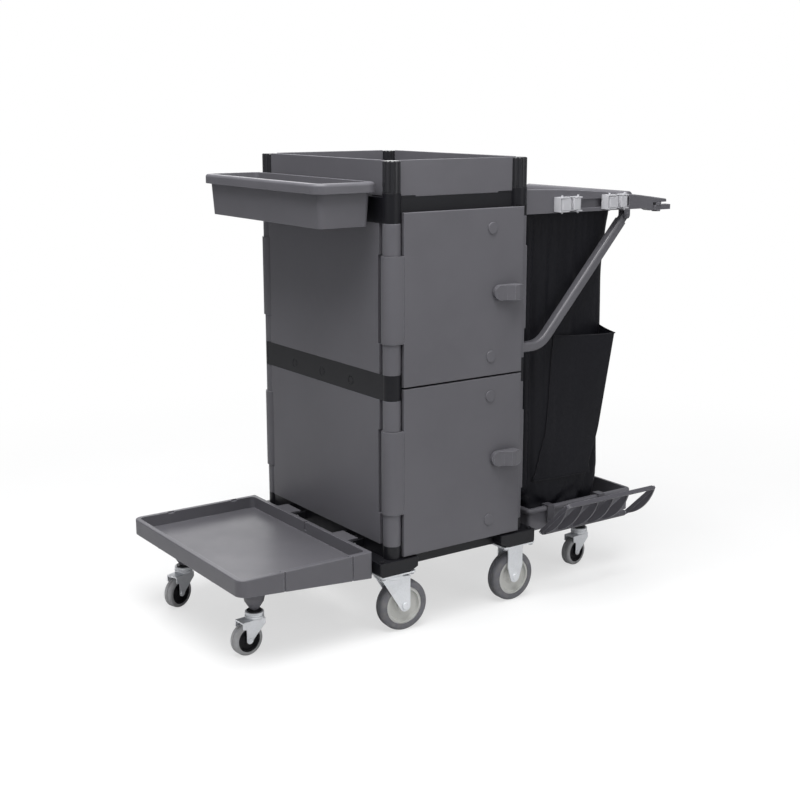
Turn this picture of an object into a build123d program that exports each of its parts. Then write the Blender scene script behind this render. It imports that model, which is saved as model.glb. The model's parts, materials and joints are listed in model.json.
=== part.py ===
from build123d import *
import math
import os

# Housekeeping cart: a two-compartment cabinet on four 125 mm casters, with a folding
# platform and a hanging bin at one end, and a waste bag on a handle frame at the other.
# Millimetres. Everything is drawn about the cabinet: X runs along the cart towards the
# bag, the doors face -Y, and Z is up from the floor. save() moves it all so that the
# origin lies under the middle of the whole cart.

CABINET_IN_CART = (-54.0, 51.18)  # the cabinet's middle, seen from the whole cart's middle
RUN = 0.06  # radial clearance of every turning fit
FIXED = 0.02  # radial clearance of every fixed pin

# Heights above the floor
BLOCK_Z = (152.0, 185.0)  # corner blocks that carry the casters
RAIL_Z = (157.0, 217.0)  # rails and floor of the base
LOWER_Z = (217.0, 561.0)  # lower compartment
MIDDLE_Z = (561.0, 621.0)  # middle shelf frame
UPPER_Z = (621.0, 960.0)  # upper compartment
TOP_Z = (960.0, 1017.0)  # top shelf frame
POST_Z = (1026.0, 1096.0)  # ribbed posts of the top rim
RIM_PANEL_Z = (1017.0, 1097.0)
RIM_STEP = (42.0, 3.0)  # length and height of the pads under the rim panels' ends

# Cabinet in plan
POST_X = 180.5
POST_Y = 266.75
COLUMN_R = 21.0
KNUCKLE_R = 24.25
COLUMN_BORE_R = 17.5
SIDE_X = 201.0  # outer face of the side panels
FRONT_Y = -270.0  # front face of the shelf frames, behind the doors
BACK_Y = 287.0
PANEL = 12.0  # thickness of side and back panels
FRAME_WALL = 14.0
BASE_X = 196.0
BASE_Y = (-262.0, 281.0)

# Doors
DOOR_X = (-163.5, 181.3)
DOOR_Y = (-291.0, -281.0)
UPPER_DOOR_Z = (590.6, 983.5)
LOWER_DOOR_Z = (188.9, 586.4)
UPPER_KNUCKLE_Z = (691.0, 889.0)
LOWER_KNUCKLE_Z = (293.0, 490.0)
KNUCKLE_GAP = 0.5
HINGE_PIN_R = 5.0
STOP_Y = -279.0  # the latch-side column is flat here, so that the door can shut on it

# Latches
LATCH_X = 107.0
UPPER_LATCH_Z = 787.0
LOWER_LATCH_Z = 386.0
LATCH_SHAFT_R = 9.0

# Casters: wheel radius, tread width, swivel axes and trails
WHEEL_R = 62.5
WHEEL_W = 32.0
CASTER_X = 178.6
RIGID_X = 186.0  # the two casters at the bag end don't swivel
CASTER_Y = 257.0
TRAIL = 29.0
SMALL_R = 37.5
SMALL_W = 25.0
SMALL_TRAIL = 23.0
PLATFORM_CASTER = (-500.0, 181.0)
TRAY_CASTER = (513.0, 155.0)

# Folding platform
PLATFORM_X = (-587.0, -242.0)
PLATFORM_Y = 277.0
PLATFORM_TOP = 214.0
PLATFORM_PIVOT = (-224.0, 199.0)  # X and Z of its hinge
LUG_Y = 132.0
LUG_W = 65.0
PLATFORM_PIN_R = 4.0

# Hanging bin
BIN_X = (-369.0, -206.0)
BIN_Y = (-260.0, 275.0)
BIN_Z = (954.0, 1051.0)
BIN_FOOT = (62.0, 249.0)  # half length and half width of its underside
BIN_RIM = 22.0
BIN_OVERHANG = 13.0
BIN_WALL = 3.0

# Handle frame
ARM_Y = 255.0
ARM_W = 22.0
ARM_ROOT_X = 208.0
ARM_BODY_END = 630.0
ARM_TIP_X = 677.0
HOOK_X = 652.0
HOOK_TIP_X = 695.0
HANDLE_X = 610.0
CLIP_X = (294.6, 449.9)
CLIP_W = 71.0
CLIP_Z = (963.5, 998.5)
CLIP_PIN_R = 2.5
CLIP_PIN_IN = (11.0, 62.0)  # the two pins, from the clip's left side
CLIP_PIN_Y = -282.5
BROOM_IN_CLIP = 40.0  # a broom handle's middle, from the clip's left side
BROOM_Y = CLIP_PIN_Y + 5
BROOM_R = 11.0
STRUT = 24.0
STRUT_BEND = (267.0, 640.0)  # X and Z where a strut turns up towards its arm
STRUT_END = (527.0, 930.0)
STRUT_BOLT = (540.0, 944.5)  # on the strut's own line, past its end

# Waste bag, its tray and the broom rack
BAG_TOP_X = (214.0, 528.0)
BAG_TOP_Y = 232.0
BAG_TOP_Z = 958.0
BAG_FOOT_X = (272.0, 520.0)
BAG_FOOT_Y = 221.0
BAG_FOOT_Z = 164.0
BAG_NECK_Z = (222.0, 320.0)  # the foot is straight below these heights, and the body above
RAIL_R = 4.0
RAIL_HEIGHT = 968.0
TRAY_X = (255.0, 616.0)
TRAY_Y = 245.0
TRAY_Z = (155.0, 214.0)
TRAY_LIP = 7.0
TRAY_WALL = 4.0
RACK_AXIS = (-297.0, 172.0)  # Y and Z of the rack's hinge
RACK_X = (248.0, 550.0)
RACK_REACH = 135.0
RACK_TILT = 43.5
RACK_PIN_R = 3.0
HANGER_X = (326.0, 502.5)
HANGER_W = 21.0

ENDS = (-1, 1)
CASTER_PLATE_X = {-1: -CASTER_X, 1: RIGID_X}


# ---------------------------------------------------------------- shared shapes
def block(x, y, z):
    """A box between a low and a high limit on each axis."""
    limits = (x, y, z)
    size = [high - low for low, high in limits]
    middle = [(low + high) / 2 for low, high in limits]
    return Pos(*middle) * Box(*size)


def slab(x, y, z, radius):
    """A box whose four upright edges are rounded."""
    outline = RectangleRounded(x[1] - x[0], y[1] - y[0], radius)
    return Pos(sum(x) / 2, sum(y) / 2, z[0]) * extrude(outline, z[1] - z[0])


def post(x, y, z, radius):
    """An upright round bar."""
    return Pos(x, y, sum(z) / 2) * Cylinder(radius, z[1] - z[0])


def bar_y(x, z, y, radius):
    """A round bar along Y."""
    return Pos(x, sum(y) / 2, z) * Rot(90, 0, 0) * Cylinder(radius, y[1] - y[0])


def bar_x(y, z, x, radius):
    """A round bar along X."""
    return Pos(sum(x) / 2, y, z) * Rot(0, 90, 0) * Cylinder(radius, x[1] - x[0])


def outline(points):
    """A flat face from its corner points."""
    return make_face(Polyline(*points, close=True))


def upright(face, y):
    """A face drawn with X across and Z up, thickened between two Y values."""
    return Pos(0, y[1], 0) * Rot(90, 0, 0) * extrude(face, y[1] - y[0])


def crosswise(face, x):
    """A face drawn with Y across and Z up, thickened between two X values."""
    return Plane.YZ.offset(x[0]) * extrude(face, x[1] - x[0])


def turned(face):
    """A solid of revolution from a half-section drawn with radius across and height up."""
    return revolve(Plane.XZ * face, Axis.Z)


def pair(shape):
    """A shape and its mirror image across the cart's long middle plane."""
    return shape + mirror(shape, about=Plane.XZ)


def group(shapes):
    """Separate solids that share one node."""
    return Compound([solid for shape in shapes for solid in shape.solids()])


def ring(x, y, z, wall):
    """An upright rectangular frame."""
    inner_x = (x[0] + wall, x[1] - wall)
    inner_y = (y[0] + wall, y[1] - wall)
    return block(x, y, z) - block(inner_x, inner_y, z)


def latch_side_relief(z):
    """The part of the latch-side front corner that the doors shut over."""
    return block((POST_X - 40, POST_X + 40), (-POST_Y - 40, STOP_Y), z)


# ---------------------------------------------------------------- cabinet
def base_frame():
    deck = 6.0
    wall = 8.0
    hollow = ((-BASE_X + wall, BASE_X - wall), (BASE_Y[0] + wall, BASE_Y[1] - wall))
    frame = block((-BASE_X, BASE_X), BASE_Y, RAIL_Z)
    frame -= block(*hollow, (RAIL_Z[0], RAIL_Z[1] - deck - 10))
    frame -= block(*hollow, (RAIL_Z[1] - 10, RAIL_Z[1]))
    for side in ENDS:
        for end in ENDS:
            frame += post(side * POST_X, end * POST_Y, (BLOCK_Z[1], RAIL_Z[1]), COLUMN_R)
    return frame - latch_side_relief((LOWER_DOOR_Z[0] - 2, RAIL_Z[1]))


def corner_blocks():
    """Blocks with a sloped underside at the end nearest the cart's middle."""
    inner, outer = 125.0, 232.0
    slope_run, slope_rise, nose = 25.0, 11.0, 6.0
    side_view = outline(
        [
            (inner, BLOCK_Z[1]),
            (inner, BLOCK_Z[0] + slope_rise),
            (inner + slope_run, BLOCK_Z[0]),
            (outer - nose, BLOCK_Z[0]),
            (outer, BLOCK_Z[0] + nose),
            (outer, BLOCK_Z[1]),
        ]
    )
    whole = upright(side_view, (-296.0, -201.0))
    whole = fillet(whole.edges().filter_by(Axis.Z), 3)
    blocks = pair(whole + mirror(whole, about=Plane.YZ))
    return blocks - block((-BASE_X, BASE_X), BASE_Y, (RAIL_Z[0], BLOCK_Z[1]))


def frame_bolts():
    """Hexagon bolts on the blocks, and the nuts under the caster plates."""
    bolts = []
    for side in ENDS:
        for end in ENDS:
            head = extrude(RegularPolygon(7, 6), 4.5)
            bolts.append(Pos(side * 220, end * 284, BLOCK_Z[1]) * head)
            for dx in (-40, 40):
                for dy in (-30, 30):
                    nut = extrude(RegularPolygon(6, 6), 5)
                    place = (CASTER_PLATE_X[side] + dx, end * CASTER_Y + dy, BLOCK_Z[0] - 9)
                    bolts.append(Pos(*place) * nut)
    return group(bolts)


def shelf_frame(z, deck_top, corner_top):
    """A moulded shelf: a rectangular frame with a floor in it and four round corners."""
    deck = 8.0
    inside = (
        (-SIDE_X + FRAME_WALL, SIDE_X - FRAME_WALL),
        (FRONT_Y + FRAME_WALL, BACK_Y - FRAME_WALL),
    )
    frame = block((-SIDE_X, SIDE_X), (FRONT_Y, BACK_Y), z)
    frame = fillet(frame.edges().filter_by(Axis.Z).group_by(Axis.Y)[-1], COLUMN_R - 1)
    frame -= block(*inside, (deck_top, z[1]))
    frame -= block(*inside, (z[0], deck_top - deck))
    for side in ENDS:
        for end in ENDS:
            frame += post(side * POST_X, end * POST_Y, (z[0], corner_top), COLUMN_R)
    return frame


def middle_shelf():
    """The middle shelf frame, with round screw covers let into its ends."""
    frame = shelf_frame(MIDDLE_Z, 611.0, MIDDLE_Z[1])
    for side in ENDS:
        for y in (-128, 0, 128):
            groove = bar_x(y, 586, (-1.2, 1.2), 10.5) - bar_x(y, 586, (-1.2, 1.2), 9)
            frame -= Pos(side * SIDE_X, 0, 0) * groove
    return frame - latch_side_relief(MIDDLE_Z)


def rim_layout():
    """Where the front and right rim panels stand, and how far they reach to each side."""
    thickness = 6.0
    front = (FRONT_Y - 0.5, FRONT_Y - 0.5 + thickness)
    right = (SIDE_X - 10.5 - thickness, SIDE_X - 10.5)
    return front, right, POST_X - COLUMN_R - 0.3, POST_Y - COLUMN_R - 0.3


def top_shelf():
    """The top shelf frame, with a low pad under both ends of every rim panel."""
    front, right, half_x, half_y = rim_layout()
    length, height = RIM_STEP
    pad_z = (TOP_Z[1] - 1, TOP_Z[1] + height - 0.1)
    frame = shelf_frame(TOP_Z, 1000.0, POST_Z[0])
    for side in ENDS:
        for end in ENDS:
            along_x = sorted((side * (half_x - length + 0.3), side * (half_x + 2)))
            along_y = sorted((end * (half_y - length + 0.3), end * (half_y + 2)))
            across_y = sorted((end * front[0], end * front[1]))
            across_x = sorted((side * right[0], side * right[1]))
            frame += block(along_x, across_y, pad_z)
            frame += block(across_x, along_y, pad_z)
    return frame - latch_side_relief((TOP_Z[0], UPPER_DOOR_Z[1] + 2.5))


def rim_posts():
    """Four round posts with upright flutes and domed tops."""
    radius, flutes, flute_r = 20.0, 12, 2.4
    body = fillet(
        Cylinder(radius, POST_Z[1] - POST_Z[0]).edges().group_by(Axis.Z)[-1], 3
    )
    for i in range(flutes):
        angle = 2 * math.pi * (i + 0.5) / flutes
        place = (radius * math.cos(angle), radius * math.sin(angle), 0)
        body -= Pos(*place) * Cylinder(flute_r, POST_Z[1] - POST_Z[0])
    middle = sum(POST_Z) / 2
    posts = [Pos(s * POST_X, e * POST_Y, middle) * body for s in ENDS for e in ENDS]
    return group(posts)


def rim_panels():
    """Four thin boards round the top, each stepped up at its lower corners."""
    long_face, end_face, half_x, half_y = rim_layout()
    step_w, step = RIM_STEP
    front = block((-half_x, half_x), long_face, RIM_PANEL_Z)
    right = block(end_face, (-half_y, half_y), RIM_PANEL_Z)
    notch = (RIM_PANEL_Z[0], RIM_PANEL_Z[0] + step)
    for end in ENDS:
        along_x = sorted((end * (half_x - step_w), end * half_x))
        along_y = sorted((end * (half_y - step_w), end * half_y))
        front -= block(along_x, long_face, notch)
        right -= block(end_face, along_y, notch)
    front = fillet(front.edges().group_by(Axis.Z)[-1], 1.5)
    right = fillet(right.edges().group_by(Axis.Z)[-1], 1.5)
    left = mirror(right, about=Plane.YZ)
    return group([front, mirror(front, about=Plane.XZ), left, right])


def corner_columns():
    """Three tube columns in each compartment; the fourth corner holds the hinges."""
    columns = []
    levels = ((LOWER_Z, LOWER_KNUCKLE_Z), (UPPER_Z, UPPER_KNUCKLE_Z))
    for side, end in ((1, -1), (1, 1), (-1, 1)):
        for level, sleeve in levels:
            x, y = side * POST_X, end * POST_Y
            tube = post(x, y, level, COLUMN_R) + post(x, y, sleeve, KNUCKLE_R)
            tube -= post(x, y, level, COLUMN_BORE_R)
            if (side, end) == (1, -1):
                tube -= block((x - 40, x + 40), (y - 40, STOP_Y), level)
                plate_x = (x - 15.5, x + 15.5)
                tube += block(plate_x, (STOP_Y, STOP_Y + 3), level)
            columns.append(tube)
    return group(columns)


def panel_notches(box_of):
    """Clearance beside the wider, middle part of each column."""
    for sleeve in (LOWER_KNUCKLE_Z, UPPER_KNUCKLE_Z):
        for end in ENDS:
            yield box_of(end, (sleeve[0] - 1.5, sleeve[1] + 1.5))


def side_panels():
    reach, clear = 246.5, 241.6
    panels = []
    for side in ENDS:
        x = sorted((side * (SIDE_X - PANEL), side * SIDE_X))
        wide = (x[0] - 1, x[1] + 1)
        for level in (LOWER_Z, UPPER_Z):
            panel = block(x, (-reach, reach), level)
            for notch in panel_notches(
                lambda end, z: block(wide, sorted((end * clear, end * (reach + 1))), z)
            ):
                panel -= notch
            panels.append(panel)
    return group(panels)


def back_panels():
    reach, clear = 160.2, 155.4
    y = (BACK_Y - PANEL, BACK_Y)
    panels = []
    for level in (LOWER_Z, UPPER_Z):
        panel = block((-reach, reach), y, level)
        for notch in panel_notches(
            lambda end, z: block(
                sorted((end * clear, end * (reach + 1))), (y[0] - 1, y[1] + 1), z
            )
        ):
            panel -= notch
        panels.append(panel)
    return group(panels)


def hinge_knuckles():
    """The fixed knuckles above and below each door's own knuckle."""
    spans = (
        (LOWER_Z[0], LOWER_KNUCKLE_Z[0]),
        (LOWER_KNUCKLE_Z[1], LOWER_Z[1]),
        (UPPER_Z[0], UPPER_KNUCKLE_Z[0]),
        (UPPER_KNUCKLE_Z[1], UPPER_Z[1]),
    )
    bore = HINGE_PIN_R + FIXED
    return group(
        [
            post(-POST_X, -POST_Y, z, COLUMN_R) - post(-POST_X, -POST_Y, z, bore)
            for z in spans
        ]
    )


def hinge_pins():
    """The doors' upright pins, the platform's two short pins and the rack's long rod."""
    doors = ((LOWER_Z[0] + 1, LOWER_Z[1] - 1), (UPPER_Z[0] + 1, UPPER_Z[1] - 1))
    pins = [post(-POST_X, -POST_Y, z, HINGE_PIN_R) for z in doors]
    reach = LUG_W / 2 + 9
    for y in (-LUG_Y, LUG_Y):
        pins.append(bar_y(*PLATFORM_PIVOT, (y - reach, y + reach), PLATFORM_PIN_R))
    pins.append(bar_x(*RACK_AXIS, (RACK_X[0] + 4, RACK_X[1] - 4), RACK_PIN_R))
    return group(pins)


# ---------------------------------------------------------------- doors
def door(z, knuckle_z, latch_z, opening_z):
    """A leaf with a wrapped hinge knuckle, two round caps and a stiffening flange inside."""
    cap_x, cap_r, cap_rise, cap_in = 86.0, 13.5, 3.0, 46.0
    groove_w, groove_depth = 1.6, 1.0
    flange_x, flange_y, flange_w = (-146.0, 84.0), (DOOR_Y[1], -263.0), 5.0
    knuckle = (knuckle_z[0] + KNUCKLE_GAP, knuckle_z[1] - KNUCKLE_GAP)
    leaf = block(DOOR_X, DOOR_Y, z)
    leaf = fillet(leaf.edges().group_by(Axis.Y)[0], 1.8)
    for cap_z in (z[0] + cap_in, z[1] - cap_in):
        disc = bar_y(cap_x, cap_z, (DOOR_Y[0] - cap_rise, DOOR_Y[0] + 1), cap_r)
        leaf += fillet(disc.edges().group_by(Axis.Y)[0], 1.2)
    flange_z = (opening_z[0] + 8, opening_z[1] - 8)
    leaf += ring(flange_x, flange_y, flange_z, flange_w)
    leaf += block((-POST_X, flange_x[0] + 1), DOOR_Y, knuckle)
    leaf += post(-POST_X, -POST_Y, knuckle, KNUCKLE_R)
    leaf -= post(-POST_X, -POST_Y, knuckle, HINGE_PIN_R + RUN)
    groove_x = (DOOR_X[0] - groove_w / 2, DOOR_X[0] + groove_w / 2)
    leaf -= block(groove_x, (DOOR_Y[0] - 1, DOOR_Y[0] + groove_depth), knuckle)
    return leaf - bar_y(LATCH_X, latch_z, (-300, -270), LATCH_SHAFT_R + RUN)


def latch(z):
    """A turn handle: a rounded pad that rises to a finger grip, its shaft and its cam."""
    length, height = 85.0, 36.0
    heel = height / 2
    back = DOOR_Y[0] - 0.8
    grip = outline(
        [
            (-heel, 0),
            (-heel, -7),
            (-heel + 4, -11),
            (6, -13),
            (14, -15),
            (28, -27),
            (40, -28),
            (length - heel - 4, -19),
            (length - heel, -15),
            (length - heel, 0),
        ]
    )
    handle = Pos(LATCH_X, back, z - heel) * extrude(grip, height)
    plan = SlotOverall(length, height)
    shape = Pos(LATCH_X + length / 2 - heel, 0, z) * upright(plan, (back - 40, back))
    handle = handle & shape
    handle = fillet(handle.edges().filter_by(Axis.Z).group_by(Axis.Y)[0], 1.5)
    shaft = bar_y(LATCH_X, z, (back - 2, -271), LATCH_SHAFT_R)
    cam = block((LATCH_X - 8, LATCH_X + 49), (-277, -271), (z - 8, z + 8))
    return handle + shaft + cam


# ---------------------------------------------------------------- casters
def caster_mounts():
    """Four top plates, two of them with swivel kingpins, and the bag tray's two stems."""
    plates = [small_stem((TRAY_CASTER[0], end * TRAY_CASTER[1])) for end in ENDS]
    for side in ENDS:
        for end in ENDS:
            x, y = CASTER_PLATE_X[side], end * CASTER_Y
            plate = slab((x - 48, x + 48), (y - 38, y + 38), (148, 152), 6)
            if side < 0:
                plate += post(x, y, (128, 148), 8)
                plate += post(x, y, (125, 129.5), 12)
            plates.append(plate)
    return group(plates)


def wheel_hub(radius, width, bore, boss_r):
    """A dished wheel centre: rim, thin web and a boss that takes the axle."""
    rim = radius * 0.13
    web = width * 0.18
    boss_half = width * 0.535
    face = outline(
        [
            (bore, -boss_half),
            (boss_r, -boss_half),
            (boss_r, -web - 3),
            (boss_r + 5, -web),
            (radius - rim - 3, -web),
            (radius - rim, -web - 4),
            (radius - rim, -width * 0.46),
            (radius, -width * 0.43),
            (radius, width * 0.43),
            (radius - rim, width * 0.46),
            (radius - rim, web + 4),
            (radius - rim - 3, web),
            (boss_r + 5, web),
            (boss_r, web + 3),
            (boss_r, boss_half),
            (bore, boss_half),
        ]
    )
    return turned(face)


def wheel_tyre(inner, outer, width, shoulder):
    """A solid tread ring with round shoulders."""
    half = width / 2
    face = Pos((inner + outer) / 2, 0) * Rectangle(outer - inner, width)
    outer_corners = face.vertices().group_by(Axis.X)[-1]
    face = fillet(outer_corners, shoulder)
    groove = Pos(outer - 0.6, 0) * Rectangle(1.2, half * 0.12)
    return turned(face - groove)


def place_wheel(shape, x, y, height, yaw):
    """Lays a wheel's axis level, turns it by its caster's yaw and puts it in place."""
    return Pos(x, y, height) * Rot(0, 0, yaw) * Rot(90, 0, 0) * shape


def wheel_centre(swivel, trail, yaw):
    """Where a caster's wheel stands, for a swivel axis, a signed trail and a yaw."""
    angle = math.radians(yaw)
    return swivel[0] + trail * math.cos(angle), swivel[1] + trail * math.sin(angle)


def main_hub(place):
    return place_wheel(wheel_hub(46, WHEEL_W, 5 + RUN, 17), *place)


def main_tyre(place):
    return place_wheel(wheel_tyre(46, WHEEL_R, WHEEL_W, 9), *place)


def small_wheel(place):
    """Hub and tread, two solids of one moulded wheel."""
    hub = wheel_hub(28.5, SMALL_W, 4 + RUN, 9)
    tread = wheel_tyre(28.5, SMALL_R, SMALL_W, 6)
    return group([place_wheel(part, *place) for part in (hub, tread)])


def axle(x, height, half, radius, head_r, head):
    """A bolt across a fork, with a domed head and a nut."""
    bolt = bar_y(x, height, (-half - head, half + head), radius)
    dome = bar_y(x, height, (-half - head, -half), head_r)
    dome = fillet(dome.edges().group_by(Axis.Y)[0], head * 0.6)
    nut = upright(Pos(x, height) * RegularPolygon(head_r, 6), (half, half + head))
    return bolt + dome + nut


def fork_legs(face, inner, sheet):
    """The same sheet outline on both sides of a wheel."""
    return pair(upright(face, (inner, inner + sheet)))


def main_fork(swivel, yaw):
    """Pressed swivel fork: round ball race, crown and two raked legs, with its axle."""
    inner, sheet, boss = 17.8, 3.0, 13.5
    rear = TRAIL + boss
    leg = outline([(-33, 137), (rear, 137), (rear, WHEEL_R), (TRAIL - 11, 55)])
    leg += Pos(TRAIL, WHEEL_R) * Circle(boss)
    fork = fork_legs(leg, inner, sheet)
    width = inner + sheet
    fork += block((-33, rear), (-width, width), (133, 137))
    race = outline([(8 + RUN, 133), (24, 133), (31, 137), (31, 143), (27, 147.4), (8 + RUN, 147.4)])
    fork += turned(race)
    fork -= post(0, 0, (120, 150), 8 + RUN)
    fork -= bar_y(TRAIL, WHEEL_R, (-30, 30), 5 + FIXED)
    bolt = axle(TRAIL, WHEEL_R, width, 5, 9, 4)
    return group([Pos(*swivel, 0) * Rot(0, 0, yaw) * part for part in (fork, bolt)])


def rigid_forks():
    """Two fixed forks with straight, tapering legs, and their axles."""
    inner, sheet, boss = 17.8, 3.0, 14.0
    leg = outline([(-23, 148), (23, 148), (23, 90), (12.5, 56), (-12.5, 56), (-23, 90)])
    leg += Pos(0, WHEEL_R) * Circle(boss)
    fork = fork_legs(leg, inner, sheet)
    width = inner + sheet
    fork += block((-34, 34), (-width, width), (144, 148))
    fork -= bar_y(0, WHEEL_R, (-30, 30), 5 + FIXED)
    bolt = axle(0, WHEEL_R, width, 5, 9, 4)
    places = [Pos(RIGID_X, end * CASTER_Y, 0) for end in ENDS]
    return group([place * part for place in places for part in (fork, bolt)])


def small_fork(swivel, yaw):
    """Small swivel fork whose wheel trails towards the platform's outer end, with its axle."""
    inner, sheet, boss, tab, tab_flange = 14.2, 2.0, 8.5, 10.0, 16.0
    rear = -SMALL_TRAIL - boss
    leg = outline(
        [(rear, 83), (19, 83), (19, 70), (-SMALL_TRAIL + boss, SMALL_R), (rear, SMALL_R)]
    )
    leg += Pos(-SMALL_TRAIL, SMALL_R) * Circle(boss)
    leg += outline([(rear - tab, 83), (rear, 83), (rear, 64), (rear - tab, 83 - tab_flange)])
    fork = fork_legs(leg, inner, sheet)
    width = inner + sheet
    fork += block((rear - tab, 19), (-width, width), (79.5, 83))
    race = outline([(0, 83), (20, 83), (22, 86), (22, 90), (20, 91), (20, 93), (22, 94), (21, 99), (0, 99)])
    fork += turned(race)
    fork -= post(0, 0, (78, 100), 5.5 + RUN)
    fork -= bar_y(-SMALL_TRAIL, SMALL_R, (-30, 30), 4 + FIXED)
    bolt = axle(-SMALL_TRAIL, SMALL_R, width, 4, 6, 2.5)
    return group([Pos(*swivel, 0) * Rot(0, 0, yaw) * part for part in (fork, bolt)])


def small_stem(swivel):
    """The pin that holds a small fork in its socket, with the cover disc above it."""
    stem = post(*swivel, (80.5, 104), 5.5)
    return stem + post(*swivel, (99.6, 102), 17)


def socket(swivel, top):
    """A funnel-shaped boss under a tray, for a small caster's stem."""
    profile = outline([(0, top), (25, top), (24.5, 134), (22, 123), (15, 112), (10, 104), (0, 104)])
    return Pos(*swivel, 0) * turned(profile)


# ---------------------------------------------------------------- platform and bin
def platform_tray():
    """A shallow tray whose skirt is deeper towards the cabinet, with hinge lugs and sockets."""
    rim, depth, floor = 12.0, 30.0, 3.5
    outer_bottom, inner_bottom = 176.0, 150.0
    x, y = PLATFORM_X, (-PLATFORM_Y, PLATFORM_Y)
    skirt = outline(
        [
            (x[0], PLATFORM_TOP),
            (x[0], outer_bottom),
            (x[1], inner_bottom),
            (x[1], PLATFORM_TOP),
        ]
    )
    tray = upright(skirt, y)
    corners = tray.edges().filter_by(Axis.Z)
    tray = fillet(corners.group_by(Axis.X)[0], 22)
    tray = fillet(tray.edges().filter_by(Axis.Z).group_by(Axis.X)[-1], 5)
    tray = fillet(tray.edges().group_by(Axis.Z)[-1], 2.5)
    recess_x = (x[0] + rim, x[1] - rim)
    recess_y = (y[0] + rim, y[1] - rim)
    tray -= slab(recess_x, recess_y, (PLATFORM_TOP - depth, PLATFORM_TOP), 12)
    floor_bottom = PLATFORM_TOP - depth - floor
    skirt_wall = 4.0
    hollow_x = (x[0] + skirt_wall, x[1] - skirt_wall)
    hollow_y = (y[0] + skirt_wall, y[1] - skirt_wall)
    tray -= slab(hollow_x, hollow_y, (100, floor_bottom), 18)
    rib_z = (floor_bottom - 9, floor_bottom)
    for rib_y in (-138, 0, 138):
        tray += block(hollow_x, (rib_y - 1.5, rib_y + 1.5), rib_z)
    for rib_x in (-500, -414, -328):
        tray += block((rib_x - 1.5, rib_x + 1.5), hollow_y, rib_z)
    for groove_x in (-476, -298):
        for side in ENDS:
            face = side * PLATFORM_Y
            across = sorted((face - side * 2.4, face + side))
            tray -= block((groove_x, groove_x + 5), across, (140, PLATFORM_TOP))
            notch = sorted((face - side * (rim + 1), face - side * 4))
            tray -= block((groove_x - 20, groove_x - 4), notch, (PLATFORM_TOP - 4, PLATFORM_TOP))
    tray -= block((x[1] - rim - 1, x[1] - 5), (-4, 8), (PLATFORM_TOP - 4, PLATFORM_TOP))
    tray -= block((x[1] - rim - 1, x[1] - rim + 3), (-4, 8), (PLATFORM_TOP - 22, PLATFORM_TOP))
    for end in ENDS:
        tray += socket((PLATFORM_CASTER[0], end * PLATFORM_CASTER[1]), floor_bottom)
        tray += platform_lug(end * LUG_Y)
    return tray


def platform_lug(y):
    """A hinge lug that reaches from the tray towards the cabinet."""
    pivot_x, pivot_z = PLATFORM_PIVOT
    across = (y - LUG_W / 2, y + LUG_W / 2)
    lug = block((PLATFORM_X[1] - 1, -209), across, (pivot_z + 3, pivot_z + 12))
    lug += block((PLATFORM_X[1] - 1, pivot_x), across, (pivot_z - 8, pivot_z + 12))
    lug += bar_y(pivot_x, pivot_z, across, 11)
    return lug - bar_y(pivot_x, pivot_z, (across[0] - 1, across[1] + 1), PLATFORM_PIN_R + RUN)


def platform_brackets():
    """Ears on the base rail, one on each side of each lug."""
    pivot_x, pivot_z = PLATFORM_PIVOT
    ears = []
    for lug_y in (-LUG_Y, LUG_Y):
        for side in ENDS:
            near = lug_y + side * (LUG_W / 2 + 1)
            across = sorted((near, near + side * 7))
            ear = block((pivot_x, -BASE_X), across, (pivot_z - 11, pivot_z + 9))
            ear += bar_y(pivot_x, pivot_z, across, 9)
            wide = (across[0] - 1, across[1] + 1)
            ears.append(ear - bar_y(pivot_x, pivot_z, wide, PLATFORM_PIN_R + FIXED))
    return group(ears)


def bin_form(inset, z):
    """The bin's tapering body, set in by a wall thickness."""
    middle = (sum(BIN_X) / 2, sum(BIN_Y) / 2)
    half_x = (BIN_X[1] - BIN_X[0]) / 2 - BIN_OVERHANG
    half_y = (BIN_Y[1] - BIN_Y[0]) / 2 - BIN_OVERHANG
    foot_x, foot_y = BIN_FOOT
    low = RectangleRounded(2 * (foot_x - inset), 2 * (foot_y - inset), 11 - inset)
    high = RectangleRounded(2 * (half_x - inset), 2 * (half_y - inset), 14 - inset)
    return loft([Pos(*middle, z[0]) * low, Pos(*middle, z[1]) * high])


def hanging_bin():
    """A deep open bin with a turned-down rim that hooks over the rail."""
    rim_top = BIN_Z[1]
    rim = slab(BIN_X, BIN_Y, (rim_top - BIN_RIM, rim_top), 30)
    rim = fillet(rim.edges().group_by(Axis.Z)[-1], 7)
    channel_x = (BIN_X[0] + BIN_WALL, BIN_X[1] - BIN_WALL)
    channel_y = (BIN_Y[0] + BIN_WALL, BIN_Y[1] - BIN_WALL)
    rim -= slab(channel_x, channel_y, (rim_top - BIN_RIM, rim_top - 4), 27)
    whole = bin_form(0, BIN_Z) + rim
    return whole - bin_form(BIN_WALL, (BIN_Z[0] + BIN_WALL, rim_top + 0.01))


def bin_rail():
    """A black rail on the top frame, with the lip that the bin hangs on."""
    half = 190.0
    lip = (-BIN_X[1] + 6.5, -BIN_X[1] + 10.5)
    section = outline(
        [
            (-SIDE_X, 990),
            (-SIDE_X, 1012),
            (-lip[0], 1012),
            (-lip[0], 1046.4),
            (-lip[1], 1046.4),
            (-lip[1], 1000),
        ]
    )
    return upright(section, (-half, half))


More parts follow.
